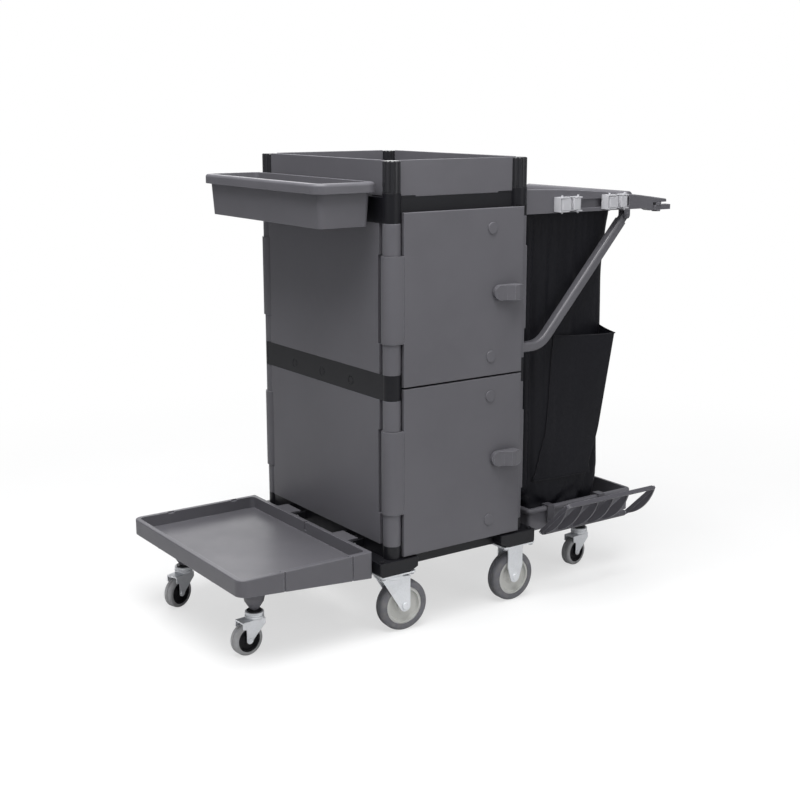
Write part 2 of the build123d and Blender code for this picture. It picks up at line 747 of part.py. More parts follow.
# ---------------------------------------------------------------- handle frame
def frame_arms():
    """Two curved arms; each ends in a thin lip with a swivel hook under it."""
    lip_z, heel_x = 972.0, 618.0
    top = ThreePointArc((ARM_ROOT_X, 1019), (450, 1006.5), (ARM_TIP_X, 979.5))
    corners = [
        (ARM_TIP_X, 979.5),
        (ARM_TIP_X, lip_z),
        (ARM_BODY_END, lip_z),
        (ARM_BODY_END, 952),
        (heel_x, 952),
        (heel_x - 14, 958),
        (ARM_ROOT_X, 961),
        (ARM_ROOT_X, 1019),
    ]
    rest = Polyline(*corners)
    y = (-ARM_Y - ARM_W / 2, -ARM_Y + ARM_W / 2)
    arm = upright(make_face([top, rest]), y)
    arm = fillet(arm.edges().filter_by(GeomType.CIRCLE), 2.5)
    track = block((300, 545), (y[0], y[0] + 8), (968, 990))
    arm -= track
    arm -= post(HOOK_X, -ARM_Y, (lip_z - 1, 990), 3 + FIXED)
    for lug_x in (250, 400, 505):
        lug = block((lug_x - 5, lug_x + 5), (y[1] - 1, -BAG_TOP_Y - RAIL_R), (964, 972))
        arm += lug
    root = block((SIDE_X + 0.5, ARM_ROOT_X + 0.5), (y[0] + 3, y[1] - 3), (966, 1014))
    return pair(arm + root)


def hook(side):
    """A flat swivel hook on a short pin, under an arm's lip."""
    half_w, tail = 10.0, 10.0
    bottom, top = 952.5, 965.0
    plate = block((HOOK_X - tail, HOOK_TIP_X), (-half_w, half_w), (bottom, top))
    plate = fillet(plate.edges().filter_by(Axis.Z).group_by(Axis.X)[-1], 3)
    plate += post(HOOK_X - tail, 0, (bottom, top), half_w)
    plate += post(HOOK_X, 0, (948.5, bottom), 11)
    plate += post(HOOK_X, 0, (top, 971.4), 13)
    plate += post(HOOK_X, 0, (top, 979), 3 - RUN + FIXED)
    mouth_x = (HOOK_X + 19, HOOK_X + 32)
    plate -= slab(mouth_x, sorted((-side * 3, -side * 30)), (bottom, top), 3)
    return Pos(0, side * ARM_Y, 0) * plate


def push_handle():
    """The round bar across the two arms."""
    reach = ARM_Y - ARM_W / 2
    return bar_y(HANDLE_X, 975, (-reach, reach), 9.5)


def handle_grip():
    """A tall oval grip over the middle of the bar."""
    section = Ellipse(15, 17.2)
    grip = upright(Pos(HANDLE_X, 980.3) * section, (-200, 200))
    grip = fillet(grip.edges(), 4)
    return grip - bar_y(HANDLE_X, 975, (-201, 201), 9.5 + FIXED)


def support_struts():
    """Square tubes that run level out of the front and back columns, then up to the arms."""
    bend_x, level = STRUT_BEND
    start = (SIDE_X + 0.3, 0, level)
    bend = (bend_x, 0, level)
    end = (STRUT_END[0], 0, STRUT_END[1])
    path = FilletPolyline(start, bend, end, radius=70)
    section_plane = Plane(origin=start, x_dir=(0, 1, 0), z_dir=(1, 0, 0))
    tube = sweep(section_plane * RectangleRounded(STRUT, STRUT, 6), path)
    tube -= sweep(section_plane * RectangleRounded(STRUT - 5, STRUT - 5, 3.5), path)
    rise = math.degrees(math.atan2(STRUT_END[1] - level, STRUT_END[0] - bend_x))
    tongue = Pos(*STRUT_END) * Rot(0, 0, rise) * Rectangle(30, STRUT - 4)
    tongue += Pos(*STRUT_BOLT) * Circle(9)
    hole = Pos(*STRUT_BOLT) * Circle(4 + FIXED)
    tube += upright(tongue - hole, (-6, 6))
    tube = Pos(0, -ARM_Y, 0) * tube
    column = post(POST_X, -POST_Y, (level - STRUT, level + STRUT), COLUMN_R + 0.3)
    return pair(tube - column)


def strut_brackets():
    """Two-cheek brackets under the arms, and the bolts through the struts' tongues."""
    pieces = []
    bolt_x, bolt_z = STRUT_BOLT
    half_w, top = 9.5, 958.3
    cheek = Pos(bolt_x, (top + bolt_z) / 2) * Rectangle(2 * half_w, top - bolt_z)
    cheek += Pos(bolt_x, bolt_z) * Circle(half_w)
    hole = Pos(bolt_x, bolt_z) * Circle(4 + FIXED)
    cheeks = pair(upright(cheek - hole, (7, 11)))
    web = block((bolt_x - half_w, bolt_x + half_w), (-11, 11), (top - 4, top))
    bolt = axle(bolt_x, bolt_z, 11, 4, 6.5, 3.5)
    for end in ENDS:
        place = Pos(0, end * ARM_Y, 0)
        pieces.append(place * (cheeks + web))
        pieces.append(place * bolt)
    return group(pieces)


def clip_bodies():
    """The fixed backs of the two broom clips, with a plate above and below the jaws."""
    plate = 3.0
    face = -ARM_Y - ARM_W / 2
    front = face - 24
    bodies = []
    for left in CLIP_X:
        x = (left, left + CLIP_W)
        broom_x = left + BROOM_IN_CLIP
        mouth = (broom_x - BROOM_R, broom_x + BROOM_R)
        body = block(x, (face - 3.8, face - 0.2), CLIP_Z)
        for z in ((CLIP_Z[0], CLIP_Z[0] + plate), (CLIP_Z[1] - plate, CLIP_Z[1])):
            shelf = slab(x, (front, face - 0.2), z, 1.5)
            shelf -= post(broom_x, BROOM_Y, z, BROOM_R) + block(mouth, (front, BROOM_Y), z)
            body += shelf
        body += block((left, left + 2.6), (face - 23, face - 0.2), CLIP_Z)
        body += block((left + 25, left + 55), (face - 1, face + 7.5), (971, 987))
        for pin in CLIP_PIN_IN:
            body -= post(left + pin, CLIP_PIN_Y, (950, 1010), CLIP_PIN_R + FIXED)
        bodies.append(body)
    return group(bodies)


def clip_pins():
    z = (CLIP_Z[0] - 4.5, CLIP_Z[1] + 4.5)
    pins = []
    for left in CLIP_X:
        for pin in CLIP_PIN_IN:
            rod = post(left + pin, CLIP_PIN_Y, z, CLIP_PIN_R)
            pins.append(fillet(rod.edges(), 1))
    return group(pins)


def clip_jaw(left, near):
    """A sprung jaw with a hollow side that holds the handle. near is 0 at the left, 1 at the right."""
    pin_x = left + CLIP_PIN_IN[near]
    reach = (25.0, 18.0)[near]
    towards = 1 if near == 0 else -1
    z = (CLIP_Z[0] + 4, CLIP_Z[1] - 4)
    x = sorted((pin_x, pin_x + towards * reach))
    jaw = slab(x, (CLIP_PIN_Y - 7.2, CLIP_PIN_Y + 7.2), z, 2.5)
    jaw += post(pin_x, CLIP_PIN_Y, z, 7.2)
    jaw -= post(left + BROOM_IN_CLIP, BROOM_Y, z, BROOM_R)
    return jaw - post(pin_x, CLIP_PIN_Y, z, CLIP_PIN_R + RUN)


# ---------------------------------------------------------------- bag, tray and rack
def bag_form(inset, low_z, high_z):
    """The bag's outer or inner form: a straight body drawn in to a foot that fits the tray."""
    corner = 28.0
    sections = (
        (BAG_FOOT_X, BAG_FOOT_Y, low_z),
        (BAG_FOOT_X, BAG_FOOT_Y, BAG_NECK_Z[0]),
        (BAG_TOP_X, BAG_TOP_Y, BAG_NECK_Z[1]),
        (BAG_TOP_X, BAG_TOP_Y, high_z),
    )
    faces = []
    for x, y, z in sections:
        width = x[1] - x[0] - 2 * inset
        face = RectangleRounded(width, 2 * (y - inset), corner - inset)
        faces.append(Pos(sum(x) / 2, 0, z) * face)
    return loft(faces, ruled=True)


def waste_bag():
    """A fabric bag, open at the top, with an open pouch on its front."""
    cloth = 4.0
    pouch_x, mouth_z, seam_z = (338.0, 500.0), 650.0, 278.0
    bag = bag_form(0, BAG_FOOT_Z, BAG_TOP_Z)
    wedge = outline([(-215, mouth_z), (-279, mouth_z), (-233, seam_z), (-215, seam_z)])
    hollow = outline([(-215, mouth_z + 1), (-275, mouth_z + 1), (-231, seam_z + 14), (-215, seam_z + 14)])
    pouch = crosswise(wedge, pouch_x)
    pouch -= crosswise(hollow, (pouch_x[0] + cloth, pouch_x[1] - cloth)) - bag
    bag += pouch
    return bag - bag_form(cloth, BAG_FOOT_Z + cloth, BAG_TOP_Z + 0.01)


def bag_rail():
    """A bent wire that carries the bag's hem, from the cabinet out and round and back."""
    start = (SIDE_X + 0.5, -BAG_TOP_Y, RAIL_HEIGHT)
    corners = [
        start,
        (BAG_TOP_X[1], -BAG_TOP_Y, RAIL_HEIGHT),
        (BAG_TOP_X[1], BAG_TOP_Y, RAIL_HEIGHT),
        (SIDE_X + 0.5, BAG_TOP_Y, RAIL_HEIGHT),
    ]
    path = FilletPolyline(*corners, radius=28)
    return sweep(Plane(origin=start, z_dir=(1, 0, 0)) * Circle(RAIL_R), path)


def bag_tray():
    """The fixed lower tray under the bag, with a rolled rim and two caster sockets."""
    corner = 16.0
    x, y = TRAY_X, (-TRAY_Y, TRAY_Y)
    body_x = (x[0] + TRAY_LIP, x[1] - TRAY_LIP)
    body_y = (y[0] + TRAY_LIP, y[1] - TRAY_LIP)
    tray = slab(body_x, body_y, TRAY_Z, corner - TRAY_LIP)
    lip = slab(x, y, (TRAY_Z[1] - 13, TRAY_Z[1]), corner)
    lip = fillet(lip.edges().group_by(Axis.Z)[-1] + lip.edges().group_by(Axis.Z)[0], 5.5)
    tray += lip
    inner_x = (body_x[0] + TRAY_WALL, body_x[1] - TRAY_WALL)
    inner_y = (body_y[0] + TRAY_WALL, body_y[1] - TRAY_WALL)
    tray -= slab(inner_x, inner_y, (TRAY_Z[0] + TRAY_WALL, TRAY_Z[1]), 5)
    for end in ENDS:
        tray += socket((TRAY_CASTER[0], end * TRAY_CASTER[1]), TRAY_Z[0])
    return tray


def tray_brackets():
    """Two arms from the base rail to the tray's near wall."""
    reach = (BASE_X, TRAY_X[0] + TRAY_LIP)
    arm = block(reach, (-150, -100), (174, 194)) + block((254, reach[1]), (-158, -92), (164, 200))
    return pair(arm)


def rack_hangers():
    """Straps that hook over the tray's rim and reach out to the rack's hinge."""
    hinge_y, hinge_z = RACK_AXIS
    face = -TRAY_Y - 0.3
    inside = -TRAY_Y + 2 * TRAY_LIP + 4.3
    hangers = []
    for middle in HANGER_X:
        x = (middle - HANGER_W / 2, middle + HANGER_W / 2)
        strap = block(x, (face - 4, face), (163, 218))
        strap += block(x, (face - 4, inside + 2), (214.3, 218))
        strap += block(x, (inside - 1, inside + 2), (204, 218))
        strap += block(x, (hinge_y, face), (hinge_z - 8, hinge_z + 5))
        strap += bar_x(hinge_y, hinge_z, x, 8)
        wide = (x[0] - 1, x[1] + 1)
        hangers.append(strap - bar_x(hinge_y, hinge_z, wide, RACK_PIN_R + FIXED))
    return group(hangers)


def broom_rack():
    """A slatted rack, drawn level and then tilted up about its hinge rod."""
    rail_w, rail_t, fin_t, fin_depth = 6.0, 10.0, 4.5, 19.0
    pitch, fins = 51.0, 4
    width = RACK_X[1] - RACK_X[0]
    middle = sum(RACK_X) / 2
    outer = RectangleRounded(width, RACK_REACH + 8, 16)
    inner = RectangleRounded(width - 2 * rail_w, RACK_REACH + 8 - 2 * rail_w, 16 - rail_w)
    frame = Pos(0, -RACK_REACH / 2 + 4) * (outer - inner)
    rack = extrude(frame, rail_t / 2, both=True)
    near, far, top, low = 3.0, 3 - RACK_REACH, rail_t / 2 - 1, -2.0
    fin = make_face(
        [
            Polyline((near, low), (near, top), (far, top), (far, low)),
            ThreePointArc((far, low), (-RACK_REACH / 2, -fin_depth), (near, low)),
        ]
    )
    side = width / 2 - rail_w / 2
    for x in (side, *(i * pitch - side for i in range(fins + 1))):
        rack += crosswise(fin, (x - fin_t / 2, x + fin_t / 2))
    rack += bar_x(0, 0, (-width / 2 + 14, width / 2 - 14), 8)
    rack -= bar_x(0, 0, (-width, width), RACK_PIN_R + RUN)
    for hanger in HANGER_X:
        gap = HANGER_W / 2 + 1
        x = (hanger - middle - gap, hanger - middle + gap)
        rack -= block(x, (-13, 30), (-30, 30))
    tilted = Pos(middle, *RACK_AXIS) * Rot(-RACK_TILT, 0, 0) * rack
    return tilted


# ---------------------------------------------------------------- write the nodes
MAIN_PLACES = {
    "front_swivel": (wheel_centre((-CASTER_X, -CASTER_Y), TRAIL, -6), -6),
    "back_swivel": (wheel_centre((-CASTER_X, CASTER_Y), TRAIL, 4), 4),
    "front_rigid": ((RIGID_X, -CASTER_Y), 0),
    "back_rigid": ((RIGID_X, CASTER_Y), 0),
}
SMALL_SWIVELS = {
    "platform_front": ((PLATFORM_CASTER[0], -PLATFORM_CASTER[1]), 5),
    "platform_back": (PLATFORM_CASTER, 20),
    "tray_front": ((TRAY_CASTER[0], -TRAY_CASTER[1]), 9),
    "tray_back": (TRAY_CASTER, 4),
}


def wheel_nodes():
    nodes = {}
    for name, (centre, yaw) in MAIN_PLACES.items():
        place = (*centre, WHEEL_R, yaw)
        nodes[name + "_hub"] = main_hub(place)
        nodes[name + "_tyre"] = main_tyre(place)
    nodes["front_swivel_fork"] = main_fork((-CASTER_X, -CASTER_Y), -6)
    nodes["back_swivel_fork"] = main_fork((-CASTER_X, CASTER_Y), 4)
    for name, (swivel, yaw) in SMALL_SWIVELS.items():
        place = (*wheel_centre(swivel, -SMALL_TRAIL, yaw), SMALL_R, yaw)
        nodes[name + "_fork"] = small_fork(swivel, yaw)
        nodes[name + "_wheel"] = small_wheel(place)
    stems = [small_stem((PLATFORM_CASTER[0], end * PLATFORM_CASTER[1])) for end in ENDS]
    nodes["platform_stems"] = group(stems)
    return nodes


def cart_nodes():
    nodes = {
        "base_frame": base_frame(),
        "corner_blocks": corner_blocks(),
        "frame_bolts": frame_bolts(),
        "middle_shelf": middle_shelf(),
        "top_shelf": top_shelf(),
        "rim_posts": rim_posts(),
        "rim_panels": rim_panels(),
        "corner_columns": corner_columns(),
        "side_panels": side_panels(),
        "back_panels": back_panels(),
        "hinge_knuckles": hinge_knuckles(),
        "hinge_pins": hinge_pins(),
        "upper_door": door(UPPER_DOOR_Z, UPPER_KNUCKLE_Z, UPPER_LATCH_Z, UPPER_Z),
        "lower_door": door(LOWER_DOOR_Z, LOWER_KNUCKLE_Z, LOWER_LATCH_Z, LOWER_Z),
        "upper_latch": latch(UPPER_LATCH_Z),
        "lower_latch": latch(LOWER_LATCH_Z),
        "caster_mounts": caster_mounts(),
        "rigid_forks": rigid_forks(),
        "platform_tray": platform_tray(),
        "platform_brackets": platform_brackets(),
        "hanging_bin": hanging_bin(),
        "bin_rail": bin_rail(),
        "frame_arms": frame_arms(),
        "front_hook": hook(-1),
        "back_hook": hook(1),
        "push_handle": push_handle(),
        "handle_grip": handle_grip(),
        "support_struts": support_struts(),
        "strut_brackets": strut_brackets(),
        "clip_bodies": clip_bodies(),
        "clip_pins": clip_pins(),
        "waste_bag": waste_bag(),
        "bag_rail": bag_rail(),
        "bag_tray": bag_tray(),
        "tray_brackets": tray_brackets(),
        "rack_hangers": rack_hangers(),
        "broom_rack": broom_rack(),
    }
    for clip, left in zip(("inner", "outer"), CLIP_X):
        for near, hand in enumerate(("left", "right")):
            nodes[f"{clip}_clip_{hand}_jaw"] = clip_jaw(left, near)
    return nodes


def save(nodes):
    os.makedirs("parts", exist_ok=True)
    for name, shape in nodes.items():
        export_step(Pos(*CABINET_IN_CART, 0) * shape, f"parts/{name}.step")


save({**cart_nodes(), **wheel_nodes()})
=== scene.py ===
import json
import math

import bpy
import numpy as np
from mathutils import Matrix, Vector


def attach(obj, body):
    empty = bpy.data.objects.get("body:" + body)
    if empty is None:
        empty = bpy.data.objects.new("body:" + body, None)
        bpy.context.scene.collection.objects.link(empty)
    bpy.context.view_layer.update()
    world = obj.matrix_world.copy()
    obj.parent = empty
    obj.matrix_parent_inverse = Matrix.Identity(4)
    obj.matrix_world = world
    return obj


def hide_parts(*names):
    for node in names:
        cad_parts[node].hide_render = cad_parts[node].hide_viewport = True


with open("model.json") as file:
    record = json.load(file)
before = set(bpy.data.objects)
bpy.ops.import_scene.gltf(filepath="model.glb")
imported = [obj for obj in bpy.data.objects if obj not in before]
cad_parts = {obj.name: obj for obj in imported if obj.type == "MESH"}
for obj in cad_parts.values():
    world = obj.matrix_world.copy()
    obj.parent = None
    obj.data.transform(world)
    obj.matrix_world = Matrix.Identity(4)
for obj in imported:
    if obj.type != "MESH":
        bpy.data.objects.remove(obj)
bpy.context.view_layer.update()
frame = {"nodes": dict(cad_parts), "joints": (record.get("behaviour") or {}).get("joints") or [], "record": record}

# Lengths are metres in the row frame. The helper at() takes millimetres measured from the
# middle of the cabinet, which is how the cart is drawn in CAD.
CABINET_IN_CART = (-54.0, 51.18, 0.0)

CAMERA_AT = (-1836.5, -2660.7, 1219.0)
CAMERA_YAW = 54.96
CAMERA_PITCH = 12.73
CAMERA_LENS = 59.19

# Main colours, as sRGB values from 0 to 255
GREY = (97, 96, 101)
BLACK = (25, 25, 29)
RIBBED_BLACK = (38, 38, 41)
RACK_GREY = (80, 79, 84)
CLIP_GREY = (190, 190, 194)
PALE_HUB = (204, 204, 200)
TREAD_GREY = (112, 112, 117)
SMALL_TREAD = (170, 170, 172)
CLOTH_BLACK = (18, 18, 24)
HEM_BLACK = (30, 30, 34)
ZINC = (238, 240, 243)
BOLT_STEEL = (186, 188, 192)
DUST = (150, 146, 138)

# Bag, in millimetres about the cabinet
BAG_X = (212.0, 524.0)
BAG_Y = 231.0
BAG_TOP_Z = 971.0
BAG_FLOOR_Z = 163.0
FOOT_X = (274.0, 518.0)
FOOT_Y = 219.0
NECK_Z = (224.0, 318.0)
CORNER = 28.0
RAIL_Z = 968.0
RAIL_X = 528.0
RAIL_Y = 232.0
HEM_START_X = 208.0
HEM_BEND = 28.0
HEM_SLEEVE_R = 5.6
CLOTH_T = 1.1


def at(x, y, z):
    """A point in millimetres about the cabinet's middle, as metres in the row frame."""
    return Vector([(v + s) / 1000 for v, s in zip((x, y, z), CABINET_IN_CART)])


def smooth(value, low, high):
    """0 below low, 1 above high and a smooth step between them."""
    t = np.clip((np.asarray(value, float) - low) / (high - low), 0.0, 1.0)
    return t * t * (3 - 2 * t)


# ---------------------------------------------------------------- node materials
def srgb(colour, gain=1.0):
    """An sRGB colour from 0 to 255 as linear RGBA."""
    linear = [((c / 255 + 0.055) / 1.055) ** 2.4 * gain for c in colour]
    return (*linear, 1.0)


class Graph:
    """A node material under construction. Patterns are placed in object space, in metres."""

    def __init__(self, name):
        self.material = bpy.data.materials.new(name)
        self.material.use_nodes = True
        self.tree = self.material.node_tree
        self.tree.nodes.clear()
        self.place = self.add("TexCoord").outputs["Object"]

    def add(self, kind, inputs=None, **settings):
        node = self.tree.nodes.new("ShaderNode" + kind)
        for key, value in settings.items():
            setattr(node, key, value)
        for key, value in (inputs or {}).items():
            self.put(node.inputs[key], value)
        return node

    def put(self, socket, value):
        if isinstance(value, bpy.types.NodeSocket):
            self.tree.links.new(value, socket)
        else:
            socket.default_value = value

    def math(self, operation, a, b=0.0):
        return self.add("Math", {0: a, 1: b}, operation=operation).outputs[0]

    def noise(self, scale, detail, stretch=(1, 1, 1)):
        mapping = self.add("Mapping", {"Vector": self.place, "Scale": stretch})
        inputs = {"Vector": mapping.outputs[0], "Scale": scale, "Detail": detail}
        return self.add("TexNoise", inputs).outputs[0]

    def cells(self, scale):
        inputs = {"Vector": self.place, "Scale": scale}
        return self.add("TexVoronoi", inputs).outputs["Distance"]

    def spread(self, value, low, high, to_low=0.0, to_high=1.0):
        """Maps low..high smoothly onto to_low..to_high."""
        inputs = {0: value, 1: low, 2: high, 3: to_low, 4: to_high}
        return self.add("MapRange", inputs, interpolation_type="SMOOTHSTEP").outputs[0]

    def mix(self, share, a, b):
        """Colour a turning into colour b."""
        return self.add("Mix", {0: share, 6: a, 7: b}, data_type="RGBA").outputs[2]

    def facing_up(self):
        normal = self.add("NewGeometry").outputs["Normal"]
        return self.add("SeparateXYZ", {0: normal}).outputs[2]

    def rounded(self, radius):
        """Normals rounded over sharp edges, and a mask that is 1 at those edges."""
        bevel = self.add("Bevel", {"Radius": radius}, samples=4).outputs[0]
        flat = self.add("NewGeometry").outputs["Normal"]
        dot = self.add("VectorMath", {0: bevel, 1: flat}, operation="DOT_PRODUCT")
        edge = self.spread(dot.outputs["Value"], 0.995, 0.86)
        return bevel, edge

    def bump(self, height, depth, normal=None, strength=1.0):
        inputs = {"Height": height, "Distance": depth, "Strength": strength}
        if normal is not None:
            inputs["Normal"] = normal
        return self.add("Bump", inputs).outputs[0]

    def finish(self, **inputs):
        named = {key.replace("_", " "): value for key, value in inputs.items()}
        shader = self.add("BsdfPrincipled", named)
        output = self.add("OutputMaterial")
        self.tree.links.new(shader.outputs[0], output.inputs["Surface"])
        return self.material


def moulded_plastic(name, colour, roughness, edge_mm=1.0, edge_highlight_strength=0.35, dust=0.1, shine=0.4):
    """Grained injection moulding: mottled colour, faint scuffs, paler edges that are a painted highlight, thin
    dust.
    """
    g = Graph(name)
    bevel, edge = g.rounded(edge_mm / 1000)
    broad = g.noise(7.0, 3.0)
    patches = g.noise(42.0, 4.0)
    base = g.mix(g.spread(broad, 0.3, 0.7), srgb(colour, 0.96), srgb(colour, 1.04))
    base = g.mix(g.spread(patches, 0.35, 0.75, 0.0, 0.2), base, srgb(colour, 1.08))
    scratches = g.noise(60.0, 5.0, stretch=(1.0, 1.0, 9.0))
    scuff = g.spread(scratches, 0.66, 0.78)
    base = g.mix(g.math("MULTIPLY", scuff, 0.1), base, srgb(colour, 1.6))
    # Sharp edges are painted paler: a painted highlight along them, varied by the patch noise.
    painted_edge_highlight = g.math("MULTIPLY", edge, g.spread(patches, 0.3, 0.7, 0.5 * edge_highlight_strength, edge_highlight_strength))
    base = g.mix(painted_edge_highlight, base, srgb([min(255, c * 1.7 + 14) for c in colour]))
    upward = g.spread(g.facing_up(), 0.75, 1.0)
    settle = g.math("MULTIPLY", upward, g.spread(g.noise(16.0, 4.0), 0.3, 0.8))
    base = g.mix(g.math("MULTIPLY", settle, dust), base, srgb(DUST))
    rough = g.spread(g.noise(14.0, 3.0), 0.25, 0.75, roughness - 0.03, roughness + 0.04)
    grain = g.math("ADD", g.noise(1500.0, 2.0), g.math("MULTIPLY", g.cells(900.0), 0.6))
    normal = g.bump(grain, 0.00012, bevel, 0.5)
    normal = g.bump(g.noise(11.0, 2.0), 0.0012, normal, 0.05)
    return g.finish(Base_Color=base, Roughness=rough, Normal=normal, Specular_IOR_Level=shine)


def plated_steel(name, tint, roughness):
    """Bright zinc-plated sheet: a soft pale skin with faint spangle and dull patches."""
    g = Graph(name)
    bevel, edge = g.rounded(0.0007)
    spangle = g.cells(260.0)
    base = g.mix(g.spread(spangle, 0.1, 0.7), srgb(tint, 0.97), srgb(tint, 1.02))
    base = g.mix(g.spread(g.noise(38.0, 3.0), 0.45, 0.8, 0.0, 0.1), base, srgb((150, 148, 146)))
    # Sharp edges are painted near white: a painted highlight.
    base = g.mix(g.math("MULTIPLY", edge, 0.15), base, srgb((240, 242, 245)))
    rough = g.spread(g.noise(60.0, 3.0), 0.3, 0.75, roughness - 0.03, roughness + 0.05)
    normal = g.bump(g.noise(30.0, 2.0), 0.0003, bevel, 0.05)
    return g.finish(Base_Color=base, Metallic=0.35, Roughness=rough, Normal=normal)


def rubber(name, colour, roughness=0.62):
    """Rolling rubber: dusty where it meets the floor, with a fine ground texture."""
    g = Graph(name)
    bevel, _ = g.rounded(0.0008)
    rub = g.spread(g.noise(85.0, 5.0), 0.38, 0.72)
    base = g.mix(g.spread(g.noise(20.0, 3.0), 0.3, 0.7), srgb(colour, 0.88), srgb(colour, 1.1))
    base = g.mix(g.math("MULTIPLY", rub, 0.25), base, srgb(DUST))
    rough = g.spread(g.noise(140.0, 4.0), 0.3, 0.7, roughness - 0.1, roughness + 0.16)
    normal = g.bump(g.noise(900.0, 3.0), 0.00018, bevel, 0.6)
    return g.finish(Base_Color=base, Roughness=rough, Normal=normal, Specular_IOR_Level=0.35)


def powder_coat(name, colour):
    """Powder-coated tube: slight orange peel under a satin skin."""
    g = Graph(name)
    bevel, edge = g.rounded(0.0009)
    base = g.mix(g.spread(g.noise(9.0, 3.0), 0.3, 0.7), srgb(colour, 0.94), srgb(colour, 1.06))
    chips = g.spread(g.noise(120.0, 5.0), 0.74, 0.78)
    base = g.mix(g.math("MULTIPLY", chips, 0.35), base, srgb((150, 150, 156)))
    # Sharp edges are painted paler grey: a painted highlight.
    base = g.mix(g.math("MULTIPLY", edge, 0.22), base, srgb((150, 150, 156)))
    rough = g.spread(g.noise(35.0, 4.0), 0.3, 0.7, 0.28, 0.42)
    normal = g.bump(g.noise(420.0, 1.0), 0.00022, bevel, 0.5)
    return g.finish(
        Base_Color=base, Roughness=rough, Normal=normal, Coat_Weight=0.25, Coat_Roughness=0.3
    )


def woven_cloth(name, colour, thread_mm=0.9, gloss=0.5):
    """Coated plain weave on the mesh's UVs, which are in metres along warp and weft."""
    g = Graph(name)
    uv = g.add("SeparateXYZ", {0: g.add("TexCoord").outputs["UV"]})
    turns = math.pi * 1000 / thread_mm
    across = g.math("SINE", g.math("MULTIPLY", uv.outputs[0], turns))
    along = g.math("SINE", g.math("MULTIPLY", uv.outputs[1], turns))
    over = g.math("GREATER_THAN", g.math("MULTIPLY", across, along), 0.0)
    warp = g.math("MULTIPLY", g.math("ABSOLUTE", across), over)
    weft = g.math("MULTIPLY", g.math("ABSOLUTE", along), g.math("SUBTRACT", 1.0, over))
    weave = g.math("ADD", warp, weft)
    slub = g.noise(190.0, 3.0)
    creases = g.noise(16.0, 6.0, stretch=(1.0, 1.0, 0.45))
    base = g.mix(g.spread(weave, 0.1, 0.9), srgb(colour, 0.7), srgb(colour, 1.2))
    # Broad paler patches: painted sheen on the cloth's folds.
    base = g.mix(g.spread(g.noise(5.0, 4.0), 0.42, 0.8, 0.0, 0.35), base, srgb(colour, 1.6))
    lint = g.spread(g.noise(420.0, 2.0), 0.73, 0.8)
    base = g.mix(g.math("MULTIPLY", lint, 0.06), base, srgb(DUST))
    rough = g.spread(slub, 0.3, 0.7, gloss - 0.06, gloss + 0.1)
    normal = g.bump(weave, 0.00016, strength=0.6)
    normal = g.bump(creases, 0.0022, normal, 0.5)
    return g.finish(
        Base_Color=base,
        Roughness=rough,
        Normal=normal,
        Specular_IOR_Level=0.22,
        Sheen_Weight=0.03,
        Sheen_Roughness=0.4,
        Sheen_Tint=srgb((170, 172, 185)),
    )


grey_plastic = moulded_plastic("grey_plastic", GREY, 0.38, 1.3, 0.85, 0.03)
panel_plastic = moulded_plastic("panel_plastic", GREY, 0.45, 0.9, 0.6, 0.04)
black_plastic = moulded_plastic("black_plastic", BLACK, 0.34, 1.0, 0.55, 0.02, 0.32)
ribbed_black = moulded_plastic("ribbed_black", RIBBED_BLACK, 0.22, 1.0, 0.8, 0.02, 0.6)
rack_plastic = moulded_plastic("rack_plastic", RACK_GREY, 0.34, 1.2, 0.9, 0.02)
clip_plastic = moulded_plastic("clip_plastic", CLIP_GREY, 0.33, 0.8, 0.25, 0.03)
hub_plastic = moulded_plastic("hub_plastic", PALE_HUB, 0.32, 0.8, 0.25, 0.06)
small_hub_plastic = moulded_plastic("small_hub_plastic", BLACK, 0.42, 0.7, 0.3, 0.05, 0.28)
zinc = plated_steel("zinc", ZINC, 0.38)
bolt_steel = plated_steel("bolt_steel", BOLT_STEEL, 0.34)
tread = rubber("tread", TREAD_GREY)
small_tread = rubber("small_tread", SMALL_TREAD, 0.55)
grey_tube = powder_coat("grey_tube", GREY)
bag_cloth = woven_cloth("bag_cloth", CLOTH_BLACK)
hem_tape = woven_cloth("hem_tape", HEM_BLACK, 1.4, 0.58)

SLOT_MATERIALS = {
    "grey_plastic": grey_plastic,
    "black_plastic": black_plastic,
    "clip_plastic": clip_plastic,
    "zinc_steel": zinc,
    "grey_tread": tread,
    "pale_hub": hub_plastic,
    "small_wheel": small_tread,
    "grey_tube": grey_tube,
    "bag_cloth": bag_cloth,
}
NODE_MATERIALS = {
    "frame_bolts": bolt_steel,
    "hinge_pins": bolt_steel,
    "rim_posts": ribbed_black,
    "broom_rack": rack_plastic,
    "rack_hangers": rack_plastic,
    "upper_door": panel_plastic,
    "lower_door": panel_plastic,
    "side_panels": panel_plastic,
    "back_panels": panel_plastic,
}


def dress_cad_nodes():
    """Gives every CAD node its material."""
    slots = {s["node"]: s["material_slot"] for s in frame["record"]["subparts"]}
    for name, node in frame["nodes"].items():
        material = NODE_MATERIALS.get(name) or SLOT_MATERIALS[slots[name]]
        node.data.materials.clear()
        node.data.materials.append(material)
        node.data.polygons.foreach_set("material_index", [0] * len(node.data.polygons))


BLOCK_BOLTS_FROM_Z = 0.17  # metres
STEM_DISC_Z = (0.0994, 0.1022)  # metres
SMALL_TREAD_INNER_R = 28.3  # millimetres


def paint_faces(node_name, material, chosen):
    """Gives one node's chosen faces a second material. chosen looks at a face's middle."""
    mesh = frame["nodes"][node_name].data
    mesh.materials.append(material)
    for face in mesh.polygons:
        if chosen(face.center):
            face.material_index = 1


def second_materials():
    """Black bolt heads on the blocks, and a dark disc at the top of each small caster's swivel head, under its
    socket.
    """

    def on_disc(middle):
        return STEM_DISC_Z[0] < middle.z < STEM_DISC_Z[1]

    paint_faces("frame_bolts", black_plastic, lambda middle: middle.z > BLOCK_BOLTS_FROM_Z)
    paint_faces("platform_stems", black_plastic, on_disc)
    paint_faces("caster_mounts", black_plastic, on_disc)


